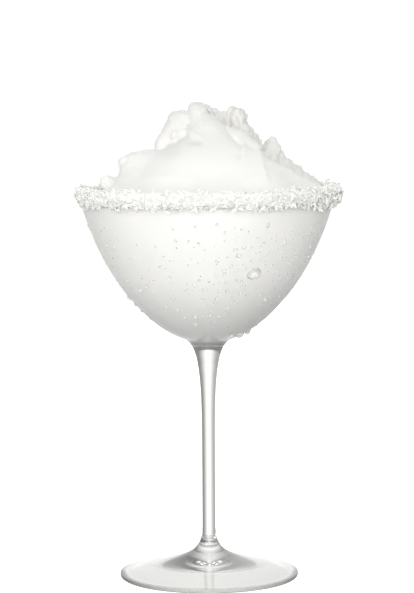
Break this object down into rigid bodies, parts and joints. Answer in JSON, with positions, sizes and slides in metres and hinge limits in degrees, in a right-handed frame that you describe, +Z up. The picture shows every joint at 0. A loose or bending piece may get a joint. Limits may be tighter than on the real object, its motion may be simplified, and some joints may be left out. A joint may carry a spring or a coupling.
{
  "type": "frozen coconut colada",
  "caption": "Frozen coconut drink filling a stemmed cocktail glass and heaped above it, with shredded coconut stuck round the rim.",
  "frame": {"origin": "centre of the foot's underside, on the surface that the glass stands on", "axes": "+Z up along the stem, from the foot to the heap; the side shown in front faces -Y, and the heap's steep knob leans towards -X"},
  "size_m": [0.1255, 0.1268, 0.2182],
  "materials": {
    "glass": "polished",
    "slush": "satin",
    "coconut": "matte"
  },
  "bodies": {
    "root": {"glass": "glass", "frozen_colada": "slush", "coconut_rim": "coconut"}
  },
  "joints": []
}
